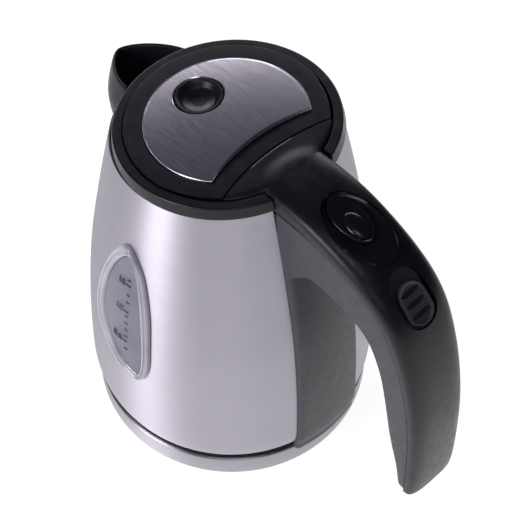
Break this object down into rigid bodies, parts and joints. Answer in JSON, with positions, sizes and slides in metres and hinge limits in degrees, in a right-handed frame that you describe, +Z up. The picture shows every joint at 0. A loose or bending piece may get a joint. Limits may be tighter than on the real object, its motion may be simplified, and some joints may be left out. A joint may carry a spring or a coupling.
{
  "type": "electric kettle",
  "caption": "Cordless jug kettle: tapered brushed-steel jug, black tilted lid with steel inlay, gauge window, free-ended top handle with button and slide switch, on a round power base.",
  "frame": {"origin": "on the kettle's vertical axis, on the plane that the power base stands on", "axes": "+Z up, +X towards the handle, -X the spout, -Y the water gauge window"},
  "size_m": [0.2296, 0.1531, 0.2218],
  "materials": {
    "brushed_steel": "fine circumferential brushing",
    "lid_steel": "straight brushing, bright chamfered edge",
    "black_plastic": "satin moulded",
    "dark_grey_plastic": "matt moulded",
    "gloss_black_plastic": "high gloss",
    "clear_window": "clear moulded plastic",
    "rubber": "matt",
    "bare_steel": "plain",
    "ivory_plastic": "heat-resistant moulding",
    "brass_contact": "plain",
    "silicone": "soft",
    "translucent_plastic": "natural",
    "wire_insulation": "plain"
  },
  "bodies": {
    "power_base": {"base_bottom_plate": "dark_grey_plastic", "base_centre_contact": "brass_contact", "base_connector_tower": "ivory_plastic", "base_cord_grommet": "rubber", "base_foot_1": "rubber", "base_foot_2": "rubber", "base_foot_3": "rubber", "base_foot_4": "rubber", "base_housing": "black_plastic", "base_ring_contact": "brass_contact", "base_screw_1": "bare_steel", "base_screw_2": "bare_steel", "base_screw_3": "bare_steel", "base_steel_jacket": "brushed_steel"},
    "connector": {"connector_socket": "ivory_plastic"},
    "kettle_body": {"bimetal_disc": "brass_contact", "body_shell": "brushed_steel", "button_insert": "gloss_black_plastic", "collar": "black_plastic", "gauge_gasket": "silicone", "gauge_window_frame": "clear_window", "gauge_window_pane": "clear_window", "handle_lower_shell": "dark_grey_plastic", "handle_screw_1": "bare_steel", "handle_screw_2": "bare_steel", "handle_upper_shell": "black_plastic", "heating_element": "bare_steel", "heating_plate": "bare_steel", "hinge_bracket": "dark_grey_plastic", "hinge_pin": "bare_steel", "hinge_spring": "bare_steel", "internal_wires": "wire_insulation", "kettle_bottom_cover": "black_plastic", "release_spring": "bare_steel", "spout": "gloss_black_plastic", "spout_filter": "translucent_plastic", "switch_bezel": "dark_grey_plastic", "switch_block": "ivory_plastic", "thermostat_controller": "ivory_plastic"},
    "lid": {"lid_cover": "black_plastic", "lid_steel_inlay": "lid_steel", "lid_dish": "gloss_black_plastic", "lid_inner_cover": "translucent_plastic", "lid_gasket": "silicone"},
    "release_button": {"lid_release_button": "gloss_black_plastic"},
    "latch": {"lid_latch": "dark_grey_plastic"},
    "power_switch": {"power_switch_slider": "dark_grey_plastic"}
  },
  "joints": [
    {"name": "kettle_lift", "type": "slide", "parent": "power_base", "child": "connector", "axis": [0, 0, 1], "range_m": [0, 0.08]},
    {"name": "kettle_swivel", "type": "hinge", "parent": "connector", "child": "kettle_body", "pos_m": [0, 0, 0.02], "axis": [0, 0, 1], "continuous": true},
    {"name": "lid_hinge", "type": "hinge", "parent": "kettle_body", "child": "lid", "pos_m": [0.02402, 0, 0.2146], "axis": [0, 1, 0], "range_deg": [0, 55]},
    {"name": "release_press", "type": "slide", "parent": "kettle_body", "child": "release_button", "axis": [-0.1599, 0, -0.9871], "range_m": [0, 0.0025], "stiffness_N_per_m": 400, "deforming": ["release_spring"]},
    {"name": "latch_slide", "type": "slide", "parent": "kettle_body", "child": "latch", "axis": [0.9937, 0, 0.112], "range_m": [0, 0.0025]},
    {"name": "switch_slide", "type": "slide", "parent": "kettle_body", "child": "power_switch", "axis": [-0.7478, 0, 0.6639], "range_m": [0, 0.004]}
  ],
  "couplings": [
    {"joint": "latch_slide", "follows": "release_press", "ratio": 1}
  ]
}
